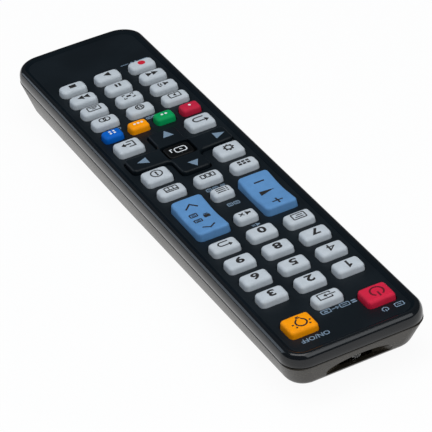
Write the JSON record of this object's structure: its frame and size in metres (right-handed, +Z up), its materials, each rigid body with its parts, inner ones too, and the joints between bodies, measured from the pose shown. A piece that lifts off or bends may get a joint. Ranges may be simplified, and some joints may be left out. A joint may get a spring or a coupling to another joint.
{
  "type": "universal remote control",
  "caption": "Long black handset with rows of rubber push keys, two tipping rockers, a four-way pad with a centre key, an infrared window and a sliding battery cover.",
  "frame": {"origin": "on the resting plane, under the middle of the case", "axes": "+Y towards the infrared end, +X to the user's right, +Z up out of the key face"},
  "size_m": [0.05, 0.217, 0.0226],
  "materials": {
    "grey_silicone": "matte",
    "red_silicone": "matte",
    "crimson_silicone": "matte",
    "amber_silicone": "matte",
    "green_silicone": "matte",
    "blue_silicone": "matte",
    "sky_blue_silicone": "matte",
    "black_silicone": "satin",
    "mat_silicone": "matte",
    "case_top": "satin face, polished rim",
    "case_bottom": "polished",
    "board": "satin",
    "clear_resin": "clear",
    "chip_resin": "matte",
    "ceramic_blue": "glossy",
    "capacitor_sleeve": "glossy",
    "cell_sleeve": "glossy",
    "plated_steel": "plated"
  },
  "bodies": {
    "case": {"upper_case": "case_top", "lower_case": "case_bottom", "circuit_board": "board", "keypad_mat": "mat_silicone", "infrared_led": "clear_resin", "control_chip": "chip_resin", "resonator": "ceramic_blue", "capacitor": "capacitor_sleeve", "cell_left": "cell_sleeve", "cell_right": "cell_sleeve", "spring_contacts": "plated_steel", "plate_contacts": "plated_steel", "case_screws": "plated_steel"},
    "cover": {"battery_cover": "case_bottom"},
    "boot": {"pad_boot": "mat_silicone"},
    "pad": {"four_way_pad": "black_silicone"},
    "volume": {"rocker_volume": "sky_blue_silicone"},
    "programme": {"rocker_programme": "sky_blue_silicone"},
    "source": {"key_source": "grey_silicone"},
    "text": {"key_text": "grey_silicone"},
    "number_0": {"key_0": "grey_silicone"},
    "previous": {"key_previous": "grey_silicone"},
    "mute": {"key_mute": "grey_silicone"},
    "channel_list": {"key_channel_list": "grey_silicone"},
    "content": {"key_content": "grey_silicone"},
    "menu": {"key_menu": "grey_silicone"},
    "guide": {"key_guide": "grey_silicone"},
    "tools": {"key_tools": "grey_silicone"},
    "info": {"key_info": "grey_silicone"},
    "return": {"key_return": "grey_silicone"},
    "exit": {"key_exit": "grey_silicone"},
    "number_1": {"key_1": "grey_silicone"},
    "number_2": {"key_2": "grey_silicone"},
    "number_3": {"key_3": "grey_silicone"},
    "number_4": {"key_4": "grey_silicone"},
    "number_5": {"key_5": "grey_silicone"},
    "number_6": {"key_6": "grey_silicone"},
    "number_7": {"key_7": "grey_silicone"},
    "number_8": {"key_8": "grey_silicone"},
    "number_9": {"key_9": "grey_silicone"},
    "media": {"key_media": "grey_silicone"},
    "web": {"key_web": "grey_silicone"},
    "dual": {"key_dual": "grey_silicone"},
    "audio": {"key_audio": "grey_silicone"},
    "size": {"key_size": "grey_silicone"},
    "caption": {"key_caption": "grey_silicone"},
    "rewind": {"key_rewind": "grey_silicone"},
    "pause": {"key_pause": "grey_silicone"},
    "forward": {"key_forward": "grey_silicone"},
    "record": {"key_record": "grey_silicone"},
    "play": {"key_play": "grey_silicone"},
    "stop": {"key_stop": "grey_silicone"},
    "power": {"key_power": "red_silicone"},
    "light": {"key_light": "amber_silicone"},
    "red": {"key_red": "crimson_silicone"},
    "green": {"key_green": "green_silicone"},
    "amber": {"key_amber": "amber_silicone"},
    "blue": {"key_blue": "blue_silicone"},
    "enter": {"key_enter": "black_silicone"}
  },
  "joints": [
    {"name": "source_press", "type": "slide", "parent": "case", "child": "source", "axis": [0, 0, -1], "range_m": [0, 0.0009], "stiffness_N_per_m": 600},
    {"name": "text_press", "type": "slide", "parent": "case", "child": "text", "axis": [0, 0, -1], "range_m": [0, 0.0009], "stiffness_N_per_m": 600},
    {"name": "number_0_press", "type": "slide", "parent": "case", "child": "number_0", "axis": [0, 0, -1], "range_m": [0, 0.0009], "stiffness_N_per_m": 600},
    {"name": "previous_press", "type": "slide", "parent": "case", "child": "previous", "axis": [0, 0, -1], "range_m": [0, 0.0009], "stiffness_N_per_m": 600},
    {"name": "mute_press", "type": "slide", "parent": "case", "child": "mute", "axis": [0, 0, -1], "range_m": [0, 0.0009], "stiffness_N_per_m": 600},
    {"name": "channel_list_press", "type": "slide", "parent": "case", "child": "channel_list", "axis": [0, 0, -1], "range_m": [0, 0.0009], "stiffness_N_per_m": 600},
    {"name": "content_press", "type": "slide", "parent": "case", "child": "content", "axis": [0, 0, -1], "range_m": [0, 0.0009], "stiffness_N_per_m": 600},
    {"name": "menu_press", "type": "slide", "parent": "case", "child": "menu", "axis": [0, 0, -1], "range_m": [0, 0.0009], "stiffness_N_per_m": 600},
    {"name": "guide_press", "type": "slide", "parent": "case", "child": "guide", "axis": [0, 0, -1], "range_m": [0, 0.0009], "stiffness_N_per_m": 600},
    {"name": "tools_press", "type": "slide", "parent": "case", "child": "tools", "axis": [0, 0, -1], "range_m": [0, 0.0009], "stiffness_N_per_m": 600},
    {"name": "info_press", "type": "slide", "parent": "case", "child": "info", "axis": [0, 0, -1], "range_m": [0, 0.0009], "stiffness_N_per_m": 600},
    {"name": "return_press", "type": "slide", "parent": "case", "child": "return", "axis": [0, 0, -1], "range_m": [0, 0.0009], "stiffness_N_per_m": 600},
    {"name": "exit_press", "type": "slide", "parent": "case", "child": "exit", "axis": [0, 0, -1], "range_m": [0, 0.0009], "stiffness_N_per_m": 600},
    {"name": "number_1_press", "type": "slide", "parent": "case", "child": "number_1", "axis": [0, 0, -1], "range_m": [0, 0.0009], "stiffness_N_per_m": 600},
    {"name": "number_2_press", "type": "slide", "parent": "case", "child": "number_2", "axis": [0, 0, -1], "range_m": [0, 0.0009], "stiffness_N_per_m": 600},
    {"name": "number_3_press", "type": "slide", "parent": "case", "child": "number_3", "axis": [0, 0, -1], "range_m": [0, 0.0009], "stiffness_N_per_m": 600},
    {"name": "number_4_press", "type": "slide", "parent": "case", "child": "number_4", "axis": [0, 0, -1], "range_m": [0, 0.0009], "stiffness_N_per_m": 600},
    {"name": "number_5_press", "type": "slide", "parent": "case", "child": "number_5", "axis": [0, 0, -1], "range_m": [0, 0.0009], "stiffness_N_per_m": 600},
    {"name": "number_6_press", "type": "slide", "parent": "case", "child": "number_6", "axis": [0, 0, -1], "range_m": [0, 0.0009], "stiffness_N_per_m": 600},
    {"name": "number_7_press", "type": "slide", "parent": "case", "child": "number_7", "axis": [0, 0, -1], "range_m": [0, 0.0009], "stiffness_N_per_m": 600},
    {"name": "number_8_press", "type": "slide", "parent": "case", "child": "number_8", "axis": [0, 0, -1], "range_m": [0, 0.0009], "stiffness_N_per_m": 600},
    {"name": "number_9_press", "type": "slide", "parent": "case", "child": "number_9", "axis": [0, 0, -1], "range_m": [0, 0.0009], "stiffness_N_per_m": 600},
    {"name": "media_press", "type": "slide", "parent": "case", "child": "media", "axis": [0, 0, -1], "range_m": [0, 0.0009], "stiffness_N_per_m": 600},
    {"name": "web_press", "type": "slide", "parent": "case", "child": "web", "axis": [0, 0, -1], "range_m": [0, 0.0009], "stiffness_N_per_m": 600},
    {"name": "dual_press", "type": "slide", "parent": "case", "child": "dual", "axis": [0, 0, -1], "range_m": [0, 0.0009], "stiffness_N_per_m": 600},
    {"name": "audio_press", "type": "slide", "parent": "case", "child": "audio", "axis": [0, 0, -1], "range_m": [0, 0.0009], "stiffness_N_per_m": 600},
    {"name": "size_press", "type": "slide", "parent": "case", "child": "size", "axis": [0, 0, -1], "range_m": [0, 0.0009], "stiffness_N_per_m": 600},
    {"name": "caption_press", "type": "slide", "parent": "case", "child": "caption", "axis": [0, 0, -1], "range_m": [0, 0.0009], "stiffness_N_per_m": 600},
    {"name": "rewind_press", "type": "slide", "parent": "case", "child": "rewind", "axis": [0, 0, -1], "range_m": [0, 0.0009], "stiffness_N_per_m": 600},
    {"name": "pause_press", "type": "slide", "parent": "case", "child": "pause", "axis": [0, 0, -1], "range_m": [0, 0.0009], "stiffness_N_per_m": 600},
    {"name": "forward_press", "type": "slide", "parent": "case", "child": "forward", "axis": [0, 0, -1], "range_m": [0, 0.0009], "stiffness_N_per_m": 600},
    {"name": "record_press", "type": "slide", "parent": "case", "child": "record", "axis": [0, 0, -1], "range_m": [0, 0.0009], "stiffness_N_per_m": 600},
    {"name": "play_press", "type": "slide", "parent": "case", "child": "play", "axis": [0, 0, -1], "range_m": [0, 0.0009], "stiffness_N_per_m": 600},
    {"name": "stop_press", "type": "slide", "parent": "case", "child": "stop", "axis": [0, 0, -1], "range_m": [0, 0.0009], "stiffness_N_per_m": 600},
    {"name": "power_press", "type": "slide", "parent": "case", "child": "power", "axis": [0, 0, -1], "range_m": [0, 0.0009], "stiffness_N_per_m": 600},
    {"name": "light_press", "type": "slide", "parent": "case", "child": "light", "axis": [0, 0, -1], "range_m": [0, 0.0009], "stiffness_N_per_m": 600},
    {"name": "red_press", "type": "slide", "parent": "case", "child": "red", "axis": [0, 0, -1], "range_m": [0, 0.0009], "stiffness_N_per_m": 600},
    {"name": "green_press", "type": "slide", "parent": "case", "child": "green", "axis": [0, 0, -1], "range_m": [0, 0.0009], "stiffness_N_per_m": 600},
    {"name": "amber_press", "type": "slide", "parent": "case", "child": "amber", "axis": [0, 0, -1], "range_m": [0, 0.0009], "stiffness_N_per_m": 600},
    {"name": "blue_press", "type": "slide", "parent": "case", "child": "blue", "axis": [0, 0, -1], "range_m": [0, 0.0009], "stiffness_N_per_m": 600},
    {"name": "enter_press", "type": "slide", "parent": "case", "child": "enter", "axis": [0, 0, -1], "range_m": [0, 0.0009], "stiffness_N_per_m": 600},
    {"name": "volume_tip", "type": "hinge", "parent": "case", "child": "volume", "pos_m": [-0.0126, 0.02296, 0.0156], "axis": [1, 0, 0], "range_deg": [-3.5, 3.5], "stiffness_Nm_per_rad": 0.3},
    {"name": "programme_tip", "type": "hinge", "parent": "case", "child": "programme", "pos_m": [0.0126, 0.02296, 0.0156], "axis": [1, 0, 0], "range_deg": [-3.5, 3.5], "stiffness_Nm_per_rad": 0.3},
    {"name": "pad_tip_length", "type": "hinge", "parent": "case", "child": "boot", "pos_m": [0, -0.01836, 0.0154], "axis": [1, 0, 0], "range_deg": [-2.5, 2.5], "stiffness_Nm_per_rad": 0.3},
    {"name": "pad_tip_width", "type": "hinge", "parent": "boot", "child": "pad", "pos_m": [0, -0.01836, 0.0154], "axis": [0, 1, 0], "range_deg": [-2.5, 2.5], "stiffness_Nm_per_rad": 0.3},
    {"name": "cover_slide", "type": "slide", "parent": "case", "child": "cover", "axis": [0, -1, 0], "range_m": [0, 0.078]}
  ]
}
